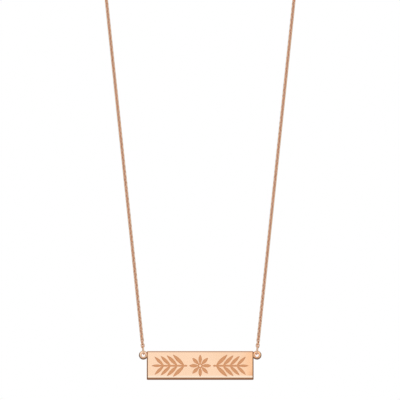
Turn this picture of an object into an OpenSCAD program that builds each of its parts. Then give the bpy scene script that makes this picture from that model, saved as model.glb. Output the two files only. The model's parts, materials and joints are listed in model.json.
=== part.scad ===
// Bar nameplate necklace: an engraved bar with a soldered ring at each upper corner,
// hung from a fine cable chain that closes in a spring ring behind the neck.
// Millimetres. Seen from the front, +X is to the right, +Y goes away towards the nape and
// +Z is up; left and right are as seen so. The origin is the middle of the back stretch,
// where the loop lies on the nape.

/* [Nameplate] */
// Length of the bar
plate_w = 32; // [30:0.5:38]
// Height of the bar
plate_h = 8.6; // [8:0.1:10]
// Thickness of the bar
plate_t = 1.2; // [1.1:0.05:1.8]
// Radius of the outline's four corners
corner_r = 0.35; // [0.2:0.05:0.6]
// Rounding of the front edges
front_edge_r = 0.6; // [0.4:0.05:0.8]
// Rounding of the back edges
back_edge_r = 0.2; // [0.1:0.05:0.3]

/* [Engraving] */
// Depth of the recess
engrave_depth = 0.3; // [0.15:0.05:0.5]
// Plain face left above and below the engraving
face_margin = 1; // [0.85:0.05:1.3]
// Plain face left at each end of the bar
end_margin = 1.5; // [1:0.1:2]
// Width of a full leaf
leaf_w = 1.1; // [0.8:0.05:1.2]
// Angle of a leaf to its stem
leaf_angle = 44; // [36:1:46]
// Pairs of leaves on each spray
leaf_pairs = 4; // [3:1:4]
// Share of its length that each pair loses to the pair before it
leaf_taper = 0.06; // [0:0.01:0.1]
// Length and width of the leaf at the spray's tip, as a share of a full one
tip_leaf = 0.68; // [0.5:0.02:0.7]
// Width of the stems
stem_w = 0.5; // [0.4:0.05:0.6]
// Distance from the bar's middle to the foot of each stem
stem_start = 4.1; // [4:0.1:4.4]
// Width of a petal
petal_w = 1; // [0.8:0.05:1.1]
// Petals of the rosette
petal_count = 8; // [6:2:10]
// Outer radius of the ring in the rosette's middle
eye_r = 0.75; // [0.6:0.05:0.9]
// Radius of the raised dot inside that ring
dot_r = 0.36; // [0.2:0.02:0.4]

/* [Soldered rings] */
// Outer diameter of a ring
ring_od = 2.7; // [2.6:0.05:3]
// Wire of a ring
ring_wire = 0.85; // [0.7:0.05:0.9]
// Centre of a ring below the bar's top edge
ring_drop = 1.2; // [1:0.05:1.4]
// Depth that a ring's wire is let into the bar's end
ring_bite = 0.35; // [0.2:0.05:0.4]
// Diameter of the round spot of solder between ring and bar
solder_d = 1.5; // [1.3:0.1:1.6]
// Thickness of the solder
solder_t = 0.95; // [0.85:0.05:1]

/* [Chain] */
// Outer width of the fine chain
chain_d = 1.25; // [0.9:0.05:1.3]
// Straight strand from the ring at the bar to the side of the neck
strand_len = 107; // [80:1:140]
// Outward lean of the strands from upright, in degrees
strand_lean = 6; // [3:0.5:12]

/* [End links] */
// Wire of the oval links that join the fine chain to the bar and to the clasp
link_wire = 0.4; // [0.3:0.05:0.4]
// Play on each side of the wire that such a link goes round
link_play = 0.1; // [0.075:0.025:0.125]
// Straight side of such a link
link_side = 1.05; // [0.5:0.05:1.2]
// Turn of the lower links about the strand, away from edge-on, in degrees
link_turn = 10; // [0:1:10]
// Gap between an end link and the chain's body
link_gap = 0.08; // [0.05:0.01:0.2]

/* [Clasp] */
// Outer diameter of the spring ring
clasp_od = 5.5; // [5:0.5:8]
// Wire of the spring ring
clasp_wire = 0.9; // [0.8:0.05:1.1]
// Outer diameter of its eyelet
eyelet_od = 2.3; // [2.2:0.1:3]
// Wire of its eyelet
eyelet_wire = 0.5; // [0.4:0.05:0.6]
// Depth that the eyelet's wire is let into the spring ring
eyelet_bite = 0.2; // [0.1:0.05:0.3]

/* [Worn loop] */
// Distance from the bar forward of the nape
neck_depth = 66; // [55:1:80]
// Height of the nape above the tops of the straight strands
nape_rise = 42; // [30:1:55]
// Length of the curve's first handle, up along the strand
side_handle = 36; // [25:1:45]
// Length of the curve's second handle, outward along the nape
nape_handle = 37.4; // [25:0.2:45]

/* [Hidden] */
$fn = 64;
rose_gold = [0.93, 0.71, 0.6];
engraved_gold = [0.88, 0.66, 0.52];
// The first leaf leaves its stem this share of a pitch from the stem's foot
first_leaf = 0.3;
band_half = plate_h / 2 - face_margin;
leaf_len = band_half / sin(leaf_angle);
tip_len = leaf_len * tip_leaf;
tip_overlap = 2 * stem_w;
stem_end = plate_w / 2 - end_margin - tip_len + tip_overlap;
leaf_pitch = (stem_end - stem_start) / leaf_pairs;
petal_start = (dot_r + eye_r) / 2;
ring_r = (ring_od - ring_wire) / 2;
ring_x = plate_w / 2 + ring_od / 2 - ring_bite;
// The solder ends a little past the middle of the ring's wire, and its rim is rounded
solder_over = 0.1;
solder_round = 0.25;
solder_x = ring_x - ring_r + solder_over - solder_d / 2;
hinge_z = -nape_rise - strand_len * cos(strand_lean);
plate_z = hinge_z - ring_r + ring_drop - plate_h / 2;
clasp_r = (clasp_od - clasp_wire) / 2;
eyelet_r = (eyelet_od - eyelet_wire) / 2;
eyelet_off = clasp_r + eyelet_r + (clasp_wire + eyelet_wire) / 2 - eyelet_bite;
clasp_half = (clasp_r + eyelet_off + eyelet_r) / 2;
clasp_x = clasp_half - clasp_r;
tube_sides = 8;
tube_steps = 36;
cut_over = 0.2;

function unit(v) = v / norm(v);
function link_r(held_wire) = held_wire / 2 + link_play + link_wire / 2;
function link_reach(held_wire) = link_side + link_r(held_wire) + link_wire / 2 + link_gap;
function lean_by(d) = [ring_x + d * sin(strand_lean), -neck_depth, hinge_z + d * cos(strand_lean)];
function bezier(p, t) =
    (1 - t) ^ 3 * p[0] + 3 * (1 - t) ^ 2 * t * p[1] + 3 * (1 - t) * t ^ 2 * p[2] + t ^ 3 * p[3];
// The loop's right half: one straight strand, then one curve round to the nape
function route(nape_x) =
    let (curve = [lean_by(strand_len), lean_by(strand_len + side_handle),
                  [nape_x + nape_handle, 0, 0], [nape_x, 0, 0]])
    concat([lean_by(link_reach(ring_wire))], [for (i = [0:tube_steps]) bezier(curve, i / tube_steps)]);
function tangent(p, i) = unit(p[min(i + 1, len(p) - 1)] - p[max(i - 1, 0)]);
// Each ring's first direction is the last one's, laid square to the path
function normals(p, i = 0, n = [0, 1, 0]) =
    i == len(p) ? [] :
    let (t = tangent(p, i), m = unit(n - (n * t) * t))
    concat([m], normals(p, i + 1, m));

module rounded_bar_outline() {
    translate([corner_r - plate_w / 2, -plate_h / 2]) square([plate_w - 2 * corner_r, plate_h]);
    translate([-plate_w / 2, corner_r - plate_h / 2]) square([plate_w, plate_h - 2 * corner_r]);
    for (x = [-1, 1], y = [-1, 1])
        translate([x * (plate_w / 2 - corner_r), y * (plate_h / 2 - corner_r)]) circle(corner_r);
}

// Cross-section of the bar, its front edges up
module edge_section(width) {
    w = width / 2;
    t = plate_t / 2;
    f = front_edge_r;
    b = back_edge_r;
    polygon([[b - w, -t], [w - b, -t], [w, b - t], [w, t - f],
             [w - f, t], [f - w, t], [-w, t - f], [-w, b - t]]);
    for (x = [-1, 1]) {
        translate([x * (w - f), t - f]) circle(f);
        translate([x * (w - b), b - t]) circle(b);
    }
}

module bar() {
    intersection() {
        translate([0, 0, -plate_t / 2]) linear_extrude(plate_t) rounded_bar_outline();
        rotate([90, 0, 0]) linear_extrude(plate_h, center = true) edge_section(plate_w);
        rotate([90, 0, 90]) linear_extrude(plate_w, center = true) edge_section(plate_h);
    }
}

module leaf(l, w) {
    r = (l * l + w * w) / (4 * w);
    intersection() {
        translate([l / 2, r - w / 2]) circle(r, $fn = 128);
        translate([l / 2, w / 2 - r]) circle(r, $fn = 128);
    }
}

module rosette() {
    for (i = [0:petal_count - 1])
        rotate(i * 360 / petal_count) translate([petal_start, 0]) leaf(band_half - petal_start, petal_w);
    circle(eye_r);
}

module laurel_spray() {
    translate([stem_start, -stem_w / 2]) square([stem_end - stem_start, stem_w]);
    translate([stem_start, 0]) circle(stem_w / 2);
    for (i = [0:leaf_pairs - 1], side = [-1, 1]) {
        size = 1 - leaf_taper * i;
        translate([stem_start + (i + first_leaf) * leaf_pitch, 0]) rotate(side * leaf_angle)
            leaf(leaf_len * size, leaf_w * size);
    }
    translate([stem_end - tip_overlap, 0]) leaf(tip_len, leaf_w * tip_leaf);
}

module engraving() {
    difference() {
        union() {
            rosette();
            laurel_spray();
            mirror([1, 0]) laurel_spray();
        }
        circle(dot_r);
    }
}

module solder() {
    rim_r = solder_d / 2 - solder_round;
    rim_z = solder_t / 2 - solder_round;
    rotate_extrude() {
        translate([0, -solder_t / 2]) square([rim_r, solder_t]);
        translate([0, -rim_z]) square([solder_d / 2, 2 * rim_z]);
        for (z = [-rim_z, rim_z]) translate([rim_r, z]) circle(solder_round);
    }
}

module soldered_ring() {
    centre = plate_h / 2 - ring_drop;
    translate([ring_x, centre, 0]) rotate_extrude() translate([ring_r, 0]) circle(ring_wire / 2);
    translate([solder_x, centre, 0]) solder();
}

// Oval link: its near end is centred on the origin, its length lies along Z
module oval_link(held_wire) {
    r = link_r(held_wire);
    for (top = [0, 1])
        translate([0, 0, top * link_side]) rotate([90, 0, 0]) rotate([0, 0, top ? 0 : 180])
            rotate_extrude(angle = 180) translate([r, 0]) circle(link_wire / 2);
    for (x = [-r, r]) translate([x, 0, 0]) cylinder(h = link_side, d = link_wire);
}

module lower_link() {
    translate(lean_by(0)) rotate([0, strand_lean, 0]) rotate([0, 0, 90 - link_turn]) oval_link(ring_wire);
}

module upper_link(held_wire) {
    translate([clasp_half, 0, 0]) rotate([0, 90, 0]) rotate([0, 0, 90]) oval_link(held_wire);
}

module chain_tube(held_wire) {
    p = route(clasp_half + link_reach(held_wire));
    n = normals(p);
    last = len(p) - 1;
    points = [for (i = [0:last], k = [0:tube_sides - 1])
        let (a = 360 * k / tube_sides, t = tangent(p, i))
        p[i] + chain_d / 2 * (cos(a) * n[i] + sin(a) * cross(t, n[i]))];
    walls = [for (i = [0:last - 1], k = [0:tube_sides - 1])
        let (j = (k + 1) % tube_sides)
        [i * tube_sides + k, (i + 1) * tube_sides + k, (i + 1) * tube_sides + j, i * tube_sides + j]];
    near_cap = [for (k = [0:tube_sides - 1]) k];
    far_cap = [for (k = [tube_sides - 1:-1:0]) last * tube_sides + k];
    polyhedron(points, concat(walls, [near_cap, far_cap]));
}

module nameplate() {
    color(rose_gold) translate([0, -neck_depth, plate_z]) rotate([90, 0, 0]) {
        difference() {
            bar();
            color(engraved_gold) translate([0, 0, plate_t / 2 - engrave_depth])
                linear_extrude(engrave_depth + cut_over) engraving();
        }
        soldered_ring();
        mirror([1, 0, 0]) soldered_ring();
    }
}

module left_end_link() {
    color(rose_gold) mirror([1, 0, 0]) lower_link();
}

module right_end_link() {
    color(rose_gold) lower_link();
}

module left_chain() {
    color(rose_gold) mirror([1, 0, 0]) chain_tube(eyelet_wire);
}

module right_chain() {
    color(rose_gold) chain_tube(clasp_wire);
}

module left_clasp_link() {
    color(rose_gold) mirror([1, 0, 0]) upper_link(eyelet_wire);
}

module right_clasp_link() {
    color(rose_gold) upper_link(clasp_wire);
}

// Spring ring with its eyelet, closed, flat against the nape
module clasp() {
    color(rose_gold) translate([clasp_x, 0, 0]) rotate([90, 0, 0]) {
        rotate_extrude() translate([clasp_r, 0]) circle(clasp_wire / 2);
        translate([-eyelet_off, 0, 0]) rotate_extrude() translate([eyelet_r, 0]) circle(eyelet_wire / 2);
    }
}

nameplate();
left_end_link();
right_end_link();
left_chain();
right_chain();
left_clasp_link();
right_clasp_link();
clasp();
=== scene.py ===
import json
from bisect import bisect
from math import atan2, cos, hypot, pi, radians, sin

import bpy
from mathutils import Matrix, Vector


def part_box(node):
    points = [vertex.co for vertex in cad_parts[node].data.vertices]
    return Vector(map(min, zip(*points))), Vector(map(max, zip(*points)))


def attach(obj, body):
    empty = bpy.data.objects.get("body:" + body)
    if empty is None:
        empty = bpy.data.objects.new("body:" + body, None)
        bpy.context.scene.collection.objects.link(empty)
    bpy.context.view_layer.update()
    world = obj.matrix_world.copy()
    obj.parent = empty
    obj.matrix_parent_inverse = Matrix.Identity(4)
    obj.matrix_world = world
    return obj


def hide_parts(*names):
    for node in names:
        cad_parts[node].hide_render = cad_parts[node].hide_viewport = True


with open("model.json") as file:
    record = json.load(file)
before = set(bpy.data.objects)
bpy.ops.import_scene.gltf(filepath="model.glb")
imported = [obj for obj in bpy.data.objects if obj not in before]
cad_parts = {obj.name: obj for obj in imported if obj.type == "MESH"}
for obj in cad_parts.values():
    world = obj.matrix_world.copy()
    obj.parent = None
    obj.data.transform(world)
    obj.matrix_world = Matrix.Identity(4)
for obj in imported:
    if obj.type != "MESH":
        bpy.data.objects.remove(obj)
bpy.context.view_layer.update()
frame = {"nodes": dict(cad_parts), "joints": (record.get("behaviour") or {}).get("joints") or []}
nodes = frame["nodes"]
mm = 0.001  # the frame is in metres, and the sizes below are given in millimetres
print("loaded the solids:", ", ".join(sorted(nodes)))

# The bar's sizes, as in the solids. Its place is read from the frame
bar = {
    "width": 32 * mm,
    "height": 8.6 * mm,
    "thickness": 1.2 * mm,
    "engravedDepth": 0.3 * mm,
    "engravedHalfWidth": 14.8 * mm,   # the laurel sprays end inside this
    "engravedHalfHeight": 3.4 * mm,   # plain margin above and below
    "pastEnd": 0.05 * mm,             # this far beyond the bar's end there is only ring and solder
    "ringX": 17 * mm,                 # middle of a soldered ring, out from the bar's middle
    "ringUp": 3.1 * mm,               # and up from it
    "ringRadius": 0.925 * mm,         # of its wire's centre line
    "ringOuter": 1.35 * mm,
}
hinge = Vector(frame["joints"][0]["pos_m"])
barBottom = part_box("nameplate")[0].z
barMiddle = Vector((0, hinge.y, barBottom + bar["height"] / 2))
barFace = hinge.y - bar["thickness"] / 2
smooth = {"interpolation_type": "SMOOTHSTEP"}


def toLinear(hexColour):
    parts = [int(hexColour[i:i + 2], 16) / 255 for i in (1, 3, 5)]
    return [p / 12.92 if p <= 0.04045 else ((p + 0.055) / 1.055) ** 2.4 for p in parts] + [1]


def addNode(tree, kind, inputs=None, links=None, **settings):
    node = tree.nodes.new("ShaderNode" + kind)
    for name, value in settings.items():
        setattr(node, name, value)
    for name, value in (inputs or {}).items():
        node.inputs[name].default_value = value
    for name, socket in (links or {}).items():
        tree.links.new(socket, node.inputs[name])
    return node


def newMaterial(name):
    material = bpy.data.materials.new(name)
    material.use_nodes = True
    material.node_tree.nodes.clear()
    return material, material.node_tree


camera = {
    "frameWidth": 400,              # pixels of the photo's side
    "barEnds": (146.68, 253.76),    # pixels, left and right end of the bar
    "barMiddle": (200.18, 365.72),  # pixels, centre of the bar
    "lens": 150,                    # long lens, as the strands show no perspective
    "sensor": 36,
    "clipStart": 10 * mm,
}


def addCamera(size):
    perPixel = bar["width"] / (size["barEnds"][1] - size["barEnds"][0])
    half = size["frameWidth"] / 2
    distance = size["frameWidth"] * perPixel * size["lens"] / size["sensor"]
    x = barMiddle.x + (half - size["barMiddle"][0]) * perPixel
    z = barMiddle.z + (size["barMiddle"][1] - half) * perPixel
    bpy.ops.object.camera_add(location=(x, barFace - distance, z), rotation=(pi / 2, 0, 0))
    made = bpy.context.object
    made.name = "photo_camera"
    made.data.lens = size["lens"]
    made.data.sensor_width = size["sensor"]
    made.data.clip_start = size["clipStart"]
    bpy.context.scene.camera = made


addCamera(camera)
print("camera set")

# Rose gold, buffed to a mirror. The eye gets a warm pink metal with soft, slightly wavy
# reflections and hairlines from the polishing wheel. The engraving's floor is left matte
# by the cutter, so it reads darker and more coppery than the face.
# A reach says how far in from an edge a tone starts, and how far in it is full.
plateLook = {
    "polished": "#FFDABA",
    "warm": "#FBD2AE",                      # faint drift across the face
    "warmNoise": (0.4, 0.7),
    "warmMost": 0.8,
    "driftSize": 9 * mm,                    # waviness of the hand-polished face
    "end": "#FFCBA0",                       # painted reflection: the face deepens towards its right end, between these shares of the bar's width, and most in the bar's lower right, where X less 0.8 of Z, from the bar's middle, is over this
    "endShares": (0.35, 0.5),               # between these shares of the bar's width,
    "corner": "#EDAE80",                    # and most in the lower right corner, where
    "cornerWay": (1, 0, -0.8),              # X less 0.8 of Z, from the bar's middle,
    "cornerStart": 15.5 * mm,               # is over this
    "cornerFull": 18.6 * mm,
    "bottomHighlight": "#FFE8D0",                       # painted highlight, a bright line above the bottom edge
    "bottomHighlightReach": (1.5 * mm, 1.15 * mm),
    "bottomEdgeShade": "#A87A5A",                # painted shade: the rounded edges are deeper, most at the bottom
    "bottomReach": (0.9 * mm, 0.62 * mm),
    # painted shade on the top edge and the bar's ends
    "edge": "#CE9C78",
    "topReach": (0.35 * mm, 0.05 * mm),
    "endReach": (0.45 * mm, 0.2 * mm),
    "rimShade": "#9A765C",                     # painted shade on the rings' outer rims, wider below, as its centre is this far up
    "rimShadeUp": 0.3 * mm,                    # wider below, as its centre is this far up
    "rimShadeStart": 0.95,                     # share of the ring's radius
    "rimShadeFull": 0.9,                       # share of its outer radius
    "engraved": "#F0B687",
    "engravedDark": "#D5966A",
    "engravedRoughness": 0.46,
    "polishedRoughness": 0.1,
    "buffedRoughness": 0.2,
    "buffedNoise": (0.35, 0.75),
    "hairlineSize": 0.25 * mm,              # real lines are 10 times finer and wouldn't show
    "hairlineStretch": 14,
    "cutSize": 0.12 * mm,                   # marks of the engraving tool
    "waveStrength": 0.25,
    "waveDepth": 0.05 * mm,
    "hairlineStrength": 0.12,
    "hairlineDepth": 0.004 * mm,
    "cutStrength": 0.5,
    "cutDepth": 0.02 * mm,
}


def makePlateGold(look):
    material, tree = newMaterial("polished rose gold, engraved")
    place = addNode(tree, "TexCoord").outputs["Object"]
    centred = addNode(tree, "Mapping", {"Location": -barMiddle}, {"Vector": place}).outputs[0]
    x, y, z = addNode(tree, "SeparateXYZ", links={0: centred}).outputs
    awayX, awayZ = [addNode(tree, "Math", links={0: side}, operation="ABSOLUTE").outputs[0]
                    for side in (x, z)]
    down = addNode(tree, "Math", {1: -1.0}, {0: z}, operation="MULTIPLY").outputs[0]

    # Engraved is what lies further behind the face than a tenth of the cut's depth, in the
    # bar's front half and inside the engraving's band
    floorLevel = bar["engravedDepth"] / 10 - bar["thickness"] / 2
    inEngraving = None
    for side, limit, test in ((awayX, bar["engravedHalfWidth"], "LESS_THAN"),
                              (awayZ, bar["engravedHalfHeight"], "LESS_THAN"),
                              (y, floorLevel, "GREATER_THAN"), (y, 0.0, "LESS_THAN")):
        part = addNode(tree, "Math", {1: limit}, {0: side}, operation=test).outputs[0]
        if inEngraving:
            part = addNode(tree, "Math", links={0: inEngraving, 1: part},
                           operation="MULTIPLY").outputs[0]
        inEngraving = part

    drift = addNode(tree, "TexNoise", {"Scale": 1 / look["driftSize"], "Detail": 1.5},
                    {"Vector": place}).outputs[0]
    stretched = addNode(tree, "Mapping", {"Scale": (1 / look["hairlineStretch"], 1, 1)},
                        {"Vector": place}).outputs[0]
    hairline = addNode(tree, "TexNoise", {"Scale": 1 / look["hairlineSize"], "Detail": 3},
                       {"Vector": stretched}).outputs[0]
    cut = addNode(tree, "TexNoise", {"Scale": 1 / look["cutSize"], "Detail": 4, "Roughness": 0.6},
                  {"Vector": place}).outputs[0]

    warmFrom, warmTo = look["warmNoise"]
    warm = addNode(tree, "MapRange",
                   {"From Min": warmFrom, "From Max": warmTo, "To Max": look["warmMost"]},
                   {"Value": drift}, **smooth).outputs[0]
    face = addNode(tree, "Mix", {6: toLinear(look["polished"]), 7: toLinear(look["warm"])},
                   {0: warm}, data_type="RGBA").outputs[2]

    # These tones are painted reflections and shade: a deeper right end and lower right, a painted
    # highlight above the bottom edge and painted shade along the rounded edges
    # Tones laid over the bar's face in turn: what they are measured along, start, full, colour
    besideBar = addNode(tree, "Math", {1: bar["width"] / 2 + bar["pastEnd"]}, {0: awayX},
                        operation="GREATER_THAN").outputs[0]
    onBar = addNode(tree, "Math", {0: 1.0}, {1: besideBar}, operation="SUBTRACT").outputs[0]
    toCorner = addNode(tree, "VectorMath", {1: look["cornerWay"]}, {0: centred},
                       operation="DOT_PRODUCT").outputs["Value"]
    halfWidth, halfHeight = bar["width"] / 2, bar["height"] / 2
    tones = (
        (x, *(bar["width"] * share for share in look["endShares"]), "end"),
        (toCorner, look["cornerStart"], look["cornerFull"], "corner"),
        (down, *(halfHeight - reach for reach in look["bottomHighlightReach"]), "bottomHighlight"),
        (down, *(halfHeight - reach for reach in look["bottomReach"]), "bottomEdgeShade"),
        (z, *(halfHeight - reach for reach in look["topReach"]), "edge"),
        (awayX, *(halfWidth - reach for reach in look["endReach"]), "edge"),
    )
    for side, start, full, tone in tones:
        share = addNode(tree, "MapRange", {"From Min": start, "From Max": full}, {"Value": side},
                        **smooth).outputs[0]
        if tone != "end":  # the right-hand ring takes the end's painted reflection too
            share = addNode(tree, "Math", links={0: share, 1: onBar},
                            operation="MULTIPLY").outputs[0]
        face = addNode(tree, "Mix", {7: toLinear(look[tone])}, {0: share, 6: face},
                       data_type="RGBA").outputs[2]

    # Painted shade round the rings' outer rims, heavier below
    offsets = [addNode(tree, "Math", {1: centre}, {0: side}, operation="SUBTRACT").outputs[0]
               for side, centre in ((awayX, bar["ringX"]), (z, bar["ringUp"] + look["rimShadeUp"]))]
    fromRing = addNode(tree, "CombineXYZ", links={0: offsets[0], 2: offsets[1]}).outputs[0]
    ringDistance = addNode(tree, "VectorMath", links={0: fromRing},
                           operation="LENGTH").outputs["Value"]
    rim = addNode(tree, "MapRange", {"From Min": bar["ringRadius"] * look["rimShadeStart"],
                                     "From Max": bar["ringOuter"] * look["rimShadeFull"]},
                  {"Value": ringDistance}, **smooth).outputs[0]
    rimShaded = addNode(tree, "Math", links={0: rim, 1: besideBar}, operation="MULTIPLY").outputs[0]
    face = addNode(tree, "Mix", {7: toLinear(look["rimShade"])}, {0: rimShaded, 6: face},
                   data_type="RGBA").outputs[2]

    engraved = addNode(tree, "Mix", {6: toLinear(look["engraved"]), 7: toLinear(look["engravedDark"])},
                       {0: cut}, data_type="RGBA").outputs[2]
    colour = addNode(tree, "Mix", links={0: inEngraving, 6: face, 7: engraved},
                     data_type="RGBA").outputs[2]
    buffedFrom, buffedTo = look["buffedNoise"]
    buffed = addNode(tree, "MapRange", {"From Min": buffedFrom, "From Max": buffedTo,
                                        "To Min": look["polishedRoughness"],
                                        "To Max": look["buffedRoughness"]},
                     {"Value": hairline}).outputs[0]
    rough = addNode(tree, "Mix", {3: look["engravedRoughness"]}, {0: inEngraving, 2: buffed},
                    data_type="FLOAT").outputs[0]

    waves = addNode(tree, "Bump", {"Strength": look["waveStrength"], "Distance": look["waveDepth"]},
                    {"Height": drift}).outputs[0]
    lines = addNode(tree, "Bump",
                    {"Strength": look["hairlineStrength"], "Distance": look["hairlineDepth"]},
                    {"Height": hairline, "Normal": waves}).outputs[0]
    toolMarks = addNode(tree, "Bump",
                        {"Strength": look["cutStrength"], "Distance": look["cutDepth"]},
                        {"Height": cut}).outputs[0]
    normal = addNode(tree, "Mix", links={0: inEngraving, 4: lines, 5: toolMarks},
                     data_type="VECTOR").outputs[1]
    shader = addNode(tree, "BsdfPrincipled", {"Metallic": 1.0},
                     {"Base Color": colour, "Roughness": rough, "Normal": normal})
    addNode(tree, "OutputMaterial", links={"Surface": shader.outputs[0]})
    return material


# Rose gold wire, drawn and then tumbled bright. The eye gets small links that sparkle
# unevenly, each a little different in tone, and deeper where they hook together, partly tarnish and
# partly painted shade.
wireLook = {
    "bright": "#F7D8C0",
    "warm": "#F3CDAE",
    "crookTarnishAndShade": "#EBC0A0",                 # tarnish, and painted shade, where the links rub and polish doesn't reach
    "edge": "#FFE2CC",                  # what the wire mirrors at its edges stays pink too
    "toneSize": 0.8 * mm,               # about a link
    "toneNoise": (0.35, 0.65),
    "brightRoughness": 0.1,
    "dullRoughness": 0.2,
    "roughNoise": (0.3, 0.7),
    "dentSize": 0.12 * mm,              # dents from tumbling
    "dentStrength": 0.2,
    "dentDepth": 0.01 * mm,
}


def makeWireGold(look):
    material, tree = newMaterial("drawn rose gold wire, tumbled")
    place = addNode(tree, "TexCoord").outputs["Object"]
    patch = addNode(tree, "TexNoise", {"Scale": 1 / look["toneSize"], "Detail": 2},
                    {"Vector": place}).outputs[0]
    toneFrom, toneTo = look["toneNoise"]
    tone = addNode(tree, "MapRange", {"From Min": toneFrom, "From Max": toneTo},
                   {"Value": patch}).outputs[0]
    outside = addNode(tree, "Mix", {6: toLinear(look["bright"]), 7: toLinear(look["warm"])},
                      {0: tone}, data_type="RGBA").outputs[2]
    # tarnish and painted shade on the links' inner sides
    inside = addNode(tree, "Attribute", attribute_name="crookTarnishAndShade").outputs["Fac"]
    colour = addNode(tree, "Mix", {7: toLinear(look["crookTarnishAndShade"])}, {0: inside, 6: outside},
                     data_type="RGBA").outputs[2]
    roughFrom, roughTo = look["roughNoise"]
    rough = addNode(tree, "MapRange", {"From Min": roughFrom, "From Max": roughTo,
                                       "To Min": look["brightRoughness"],
                                       "To Max": look["dullRoughness"]},
                    {"Value": patch}).outputs[0]
    dents = addNode(tree, "TexNoise", {"Scale": 1 / look["dentSize"], "Detail": 2},
                    {"Vector": place}).outputs[0]
    bump = addNode(tree, "Bump", {"Strength": look["dentStrength"], "Distance": look["dentDepth"]},
                   {"Height": dents}).outputs[0]
    shader = addNode(tree, "BsdfPrincipled",
                     {"Metallic": 1.0, "Specular Tint": toLinear(look["edge"])},
                     {"Base Color": colour, "Roughness": rough, "Normal": bump})
    addNode(tree, "OutputMaterial", links={"Surface": shader.outputs[0]})
    return material


plateGold = makePlateGold(plateLook)
wireGold = makeWireGold(wireLook)
for name, node in nodes.items():
    node.data.materials.clear()
    node.data.materials.append(plateGold if name == "nameplate" else wireGold)
print("rose gold finishes made")

# Fine cable chain: oval links of round wire, each turned a quarter from the one before it
chain = {
    "linkLength": 1.585 * mm,    # outside
    "linkWidth": 1.25 * mm,      # outside
    "wire": 0.38 * mm,
    "play": 0.01 * mm,           # between one link and the next
    "ringSteps": 16,             # a multiple of 4, so that a flat lies at each end and side
    "wireSides": 6,
    "endWire": 0.4 * mm,         # wire of the larger end links
    "firstBar": 1.775 * mm,      # from the hinge to the far wire of the lower end link
    "lastBars": {"left": 5.05 * mm, "right": 5.25 * mm},  # X of the far wire of each clasp link
    "lowerRoll": radians(64),    # roll of the first link, nearly square to the lower end link
    "freeRoll": radians(45),     # roll that the chain settles to
    "settleLinks": 3,
    "napeLinks": 24,             # over these the chain turns to meet the clasp link
}
# The loop's path, as in the solids: a straight strand, then one curve round to the nape
route = {
    "lean": radians(6),
    "strand": 107 * mm,
    "sideHandle": 36 * mm,
    "napeHandle": 37.4 * mm,
    "hingeX": 17 * mm,
    "napeX": {"left": 5.33 * mm, "right": 5.53 * mm},
    "steps": 600,                # in the strand, and again in the curve
}


def routePoints(size, side):
    # Right-hand half of the loop. The left is mirrored when its chain is laid
    up = Vector((sin(size["lean"]), 0, cos(size["lean"])))
    start = Vector((size["hingeX"], hinge.y, hinge.z))
    napeX = size["napeX"][side]
    corners = [start + up * size["strand"], start + up * (size["strand"] + size["sideHandle"]),
               Vector((napeX + size["napeHandle"], 0, 0)), Vector((napeX, 0, 0))]
    points = [start + up * size["strand"] * i / size["steps"] for i in range(size["steps"])]
    for i in range(size["steps"] + 1):
        t = i / size["steps"]
        shares = ((1 - t) ** 3, 3 * (1 - t) ** 2 * t, 3 * (1 - t) * t ** 2, t ** 3)
        points.append(sum((c * s for c, s in zip(corners, shares)), Vector()))
    points.append(Vector((0, 0, 0)))  # on along the clasp link
    return points


def smoothStep(t):
    t = min(max(t, 0), 1)
    return t * t * (3 - 2 * t)


def modelLink(size):
    # A torus with half a step of turn, so that both halves can be drawn apart to an oval
    step = pi / size["ringSteps"]
    radius = size["linkWidth"] / 2 / cos(step) - size["wire"] / 2
    bpy.ops.object.select_all(action="DESELECT")
    bpy.ops.mesh.primitive_torus_add(
        major_radius=radius, minor_radius=size["wire"] / 2, major_segments=size["ringSteps"],
        minor_segments=size["wireSides"], rotation=(pi / 2, step, 0))
    link = bpy.context.object
    bpy.ops.object.transform_apply(rotation=True)
    stretch = (size["linkLength"] - size["linkWidth"]) / 2
    for way in (-1, 1):
        bpy.ops.object.mode_set(mode="EDIT")
        bpy.ops.mesh.select_all(action="DESELECT")
        bpy.ops.object.mode_set(mode="OBJECT")
        for vertex in link.data.vertices:
            vertex.select = vertex.co.z * way > 0
        bpy.ops.object.mode_set(mode="EDIT")
        bpy.ops.transform.translate(value=(0, 0, way * stretch))
        bpy.ops.object.mode_set(mode="OBJECT")
    bpy.ops.object.shade_smooth()
    # How far each point lies round to the link's inner side, for the tarnish and painted shade where
    # it hooks its neighbours
    crookTarnishAndShade = link.data.attributes.new("crookTarnishAndShade", "FLOAT", "POINT")
    middle = (size["linkWidth"] - size["wire"]) / 2
    for vertex, value in zip(link.data.vertices, crookTarnishAndShade.data):
        beyond = max(abs(vertex.co.z) - stretch, 0)
        inward = (middle - hypot(vertex.co.x, beyond)) / (size["wire"] / 2)
        value.value = smoothStep(0.5 + inward / 2)
    return link


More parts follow.
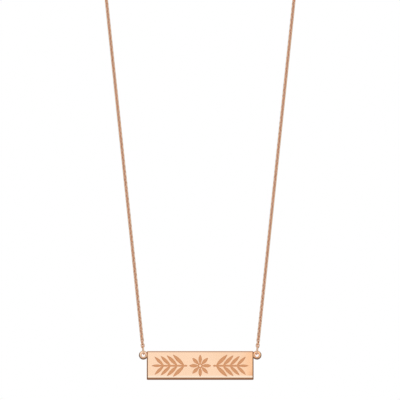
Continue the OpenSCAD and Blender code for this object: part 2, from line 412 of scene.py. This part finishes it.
def linkPlaces(size, side):
    # Middle, direction and cross direction of each link, evenly spaced along the route
    points = routePoints(route, side)
    lengths = [0.0]
    for a, b in zip(points, points[1:]):
        lengths.append(lengths[-1] + (b - a).length)

    def along(distance):
        i = min(max(bisect(lengths, distance), 1), len(lengths) - 1)
        share = (distance - lengths[i - 1]) / (lengths[i] - lengths[i - 1])
        return points[i - 1].lerp(points[i], share)

    bite = (size["endWire"] + size["wire"]) / 2 + size["play"]  # from wire to hooked wire
    reach = size["linkLength"] - size["wire"]
    first = size["firstBar"] - bite
    last = lengths[-1] - (size["lastBars"][side] - bite)
    pitch = reach - size["wire"] - size["play"]
    count = round((last - first - reach) / pitch) + 1
    pitch = (last - first - reach) / (count - 1)
    print(side, "chain:", count, "links, pitch", round(pitch / mm, 4), "mm")

    # Each link's cross direction is carried over from the one before it
    across = Vector((0, 1, 0))
    places = []
    for i in range(count):
        near, far = along(first + i * pitch), along(first + i * pitch + reach)
        ahead = (far - near).normalized()
        across = (across - ahead * across.dot(ahead)).normalized()
        places.append(((near + far) / 2, ahead, across))
    return places


def linkRolls(size, places):
    # At the nape the last link stands upright, square to the clasp link that lies flat
    count = len(places)
    ahead, across = places[-1][1:]
    uprightRoll = atan2(across.z, -ahead.cross(across).z)
    lastTurn = (uprightRoll - size["freeRoll"] - count * pi / 2 + pi / 2) % pi - pi / 2
    rolls = []
    for i in range(count):
        settled = smoothStep(i / size["settleLinks"])
        ending = smoothStep(1 - (count - 1 - i) / size["napeLinks"])
        roll = (i + 1) * pi / 2 + size["freeRoll"] * settled + size["lowerRoll"] * (1 - settled)
        rolls.append(roll + lastTurn * ending)
    return rolls


def layChain(link, size, side):
    places = linkPlaces(size, side)
    copies = []
    for (middle, ahead, across), roll in zip(places, linkRolls(size, places)):
        wide = across * sin(roll) - ahead.cross(across) * cos(roll)
        turned = Matrix((wide, ahead.cross(wide), ahead)).transposed().to_4x4()
        copy = link.copy()
        copy.data = link.data.copy()
        copy.matrix_world = Matrix.Translation(middle) @ turned
        bpy.context.collection.objects.link(copy)
        copies.append(copy)
    bpy.ops.object.select_all(action="DESELECT")
    for copy in copies:
        copy.select_set(True)
    bpy.context.view_layer.objects.active = copies[0]
    bpy.ops.object.join()
    bpy.ops.object.transform_apply(location=True, rotation=True, scale=True)
    laid = bpy.context.object
    if side == "left":
        bpy.ops.object.mode_set(mode="EDIT")
        bpy.ops.mesh.select_all(action="SELECT")
        bpy.ops.transform.mirror(constraint_axis=(True, False, False), center_override=(0, 0, 0))
        bpy.ops.mesh.normals_make_consistent(inside=False)
        bpy.ops.object.mode_set(mode="OBJECT")
    laid.name = side + "_chain_links"
    laid.data.materials.clear()
    laid.data.materials.append(wireGold)
    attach(laid, "chain")
    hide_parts(side + "_chain")
    print(side, "chain laid,", len(laid.data.polygons), "faces")


link = modelLink(chain)
for side in ("left", "right"):
    layChain(link, chain, side)
bpy.data.objects.remove(link)

# Studio: a light tent, white in front and above, with darker cards for the metal to mirror
studio = {
    "floorSize": 800 * mm,       # small enough to stay below the photo's frame
    "floorDrop": 60 * mm,
    "floor": "#F6F5F3",
    "floorRoughness": 0.8,
    "paperGrain": 2 * mm,
    "paperStrength": 0.05,
    "paperDepth": 0.1 * mm,
    "white": (1.0, 1.0, 1.0),
    # A card covers the directions whose X, Y or Z lies past its start, fully past its full,
    # and no further sideways than its half width, where 1 sets no limit. Each row is
    # axis, start, full, half width, tone
    "cards": {
        "back": (1, 0.05, 0.3, 1, (0.44, 0.39, 0.35)),
        "left": (0, -0.72, -0.9, 1, (0.24, 0.20, 0.16)),
        "right": (0, 0.72, 0.9, 1, (0.27, 0.23, 0.18)),
        "backWindow": (1, 0.5, 0.65, 0.8, (0.9, 0.9, 0.9)),
        "top": (2, 0.76, 0.84, 1, (0.78, 0.75, 0.72)),
        "low": (2, -0.56, -0.7, 0.7, (0.3, 0.23, 0.19)),
        "table": (2, -0.78, -0.9, 1, (0.62, 0.52, 0.46)),
    },
    "cardFade": 1.2,             # a card's sides fade out at this share of its half width
}


def addFloor(size):
    bpy.ops.object.select_all(action="DESELECT")
    bpy.ops.mesh.primitive_plane_add(size=size["floorSize"],
                                     location=(0, hinge.y / 2, barBottom - size["floorDrop"]))
    floor = bpy.context.object
    floor.name = "studio_floor"
    floor.visible_glossy = False  # the metal mirrors the tent alone
    material, tree = newMaterial("matte studio paper")
    place = addNode(tree, "TexCoord").outputs["Object"]
    grain = addNode(tree, "TexNoise", {"Scale": 1 / size["paperGrain"], "Detail": 3},
                    {"Vector": place}).outputs[0]
    bump = addNode(tree, "Bump",
                   {"Strength": size["paperStrength"], "Distance": size["paperDepth"]},
                   {"Height": grain}).outputs[0]
    shader = addNode(tree, "BsdfPrincipled", {"Base Color": toLinear(size["floor"]),
                                              "Roughness": size["floorRoughness"]},
                     {"Normal": bump})
    addNode(tree, "OutputMaterial", links={"Surface": shader.outputs[0]})
    floor.data.materials.append(material)


def addTent(size):
    world = bpy.data.worlds.new("light tent")
    bpy.context.scene.world = world
    world.use_nodes = True
    tree = world.node_tree
    tree.nodes.clear()
    direction = addNode(tree, "TexCoord").outputs["Generated"]
    way = addNode(tree, "SeparateXYZ", links={0: direction}).outputs
    sideways = addNode(tree, "Math", links={0: way[0]}, operation="ABSOLUTE").outputs[0]
    colour = None
    for axis, start, full, halfWidth, tone in size["cards"].values():
        share = addNode(tree, "MapRange", {"From Min": start, "From Max": full},
                        {"Value": way[axis]}, **smooth).outputs[0]
        if halfWidth < 1:
            inside = addNode(tree, "MapRange", {"From Min": halfWidth * size["cardFade"],
                                                "From Max": halfWidth},
                             {"Value": sideways}, **smooth).outputs[0]
            share = addNode(tree, "Math", links={0: share, 1: inside},
                            operation="MULTIPLY").outputs[0]
        mix = addNode(tree, "Mix", {6: (*size["white"], 1), 7: (*tone, 1)}, {0: share},
                      data_type="RGBA")
        if colour:
            tree.links.new(colour, mix.inputs[6])
        colour = mix.outputs[2]
    # The cards show only in the metal: the picture's ground and the paper are lit plain white
    tent = addNode(tree, "Background", links={"Color": colour})
    white = addNode(tree, "Background", {"Color": (*size["white"], 1)})
    rays = addNode(tree, "LightPath").outputs
    plain = addNode(tree, "Math", links={0: rays["Is Camera Ray"], 1: rays["Is Diffuse Ray"]},
                    operation="MAXIMUM").outputs[0]
    mixed = addNode(tree, "MixShader", links={0: plain, 1: tent.outputs[0], 2: white.outputs[0]})
    addNode(tree, "OutputWorld", links={"Surface": mixed.outputs[0]})


addFloor(studio)
addTent(studio)
bpy.context.scene.view_settings.view_transform = "Standard"  # white stays white
print("studio set")
